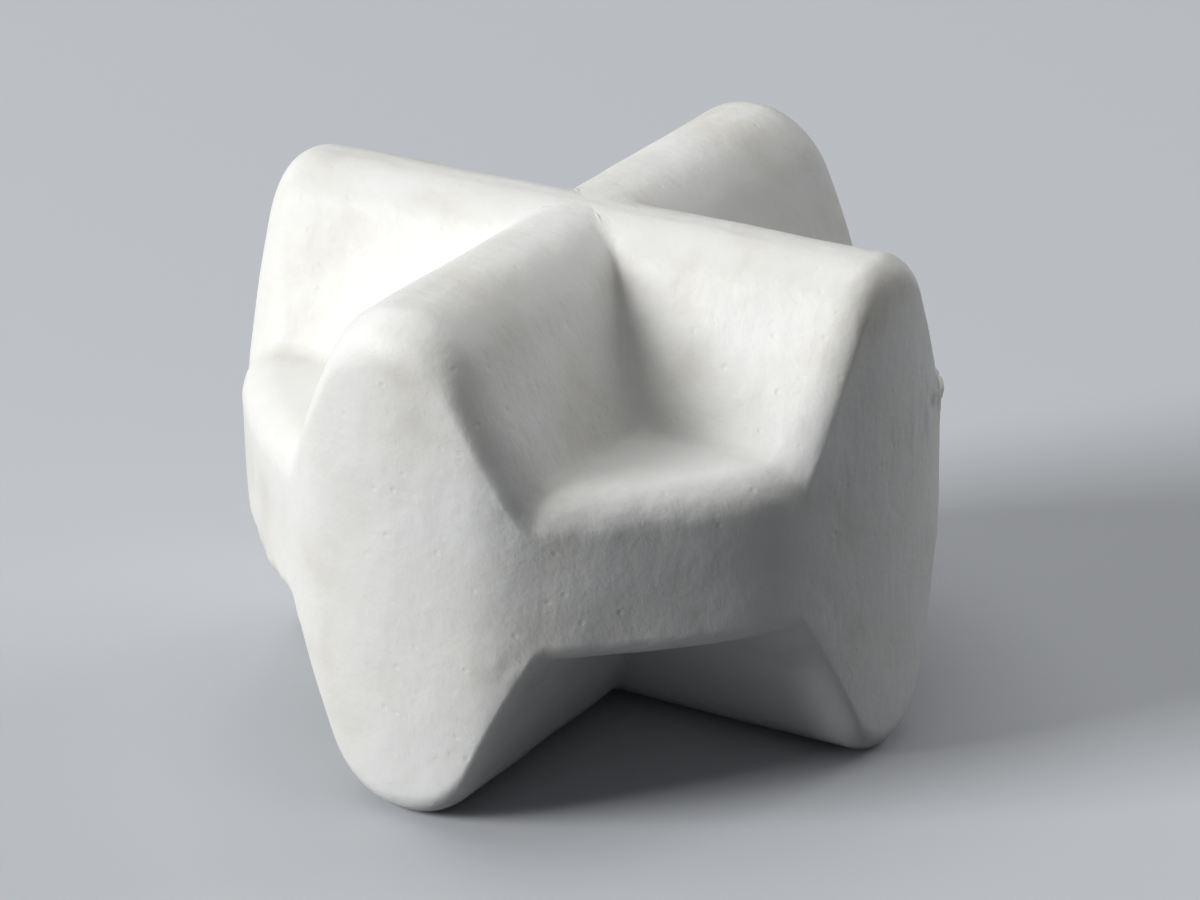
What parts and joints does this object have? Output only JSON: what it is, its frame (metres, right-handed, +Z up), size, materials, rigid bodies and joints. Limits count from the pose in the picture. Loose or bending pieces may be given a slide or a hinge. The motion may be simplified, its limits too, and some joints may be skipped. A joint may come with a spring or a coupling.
{
  "type": "magnetic stir bar",
  "caption": "Double cross-head magnetic stir bar: a white PTFE body with crossed ridges above and below, pressed round a sealed bar magnet.",
  "frame": {"origin": "on the surface it stands on, under the middle of the bar", "axes": "+Z up, from the lower cross to the upper cross; +Y along the sealed magnet and the slightly longer pair of arms; +X along the other pair"},
  "size_m": [0.025, 0.0266, 0.0187],
  "materials": {
    "ptfe": "white sintered PTFE, waxy and slightly translucent, with faint pits and pressing marks",
    "alnico": "ground dark grey Alnico, sealed inside the PTFE"
  },
  "bodies": {
    "root": {"ptfe_jacket": "ptfe", "magnet": "alnico"}
  },
  "joints": []
}
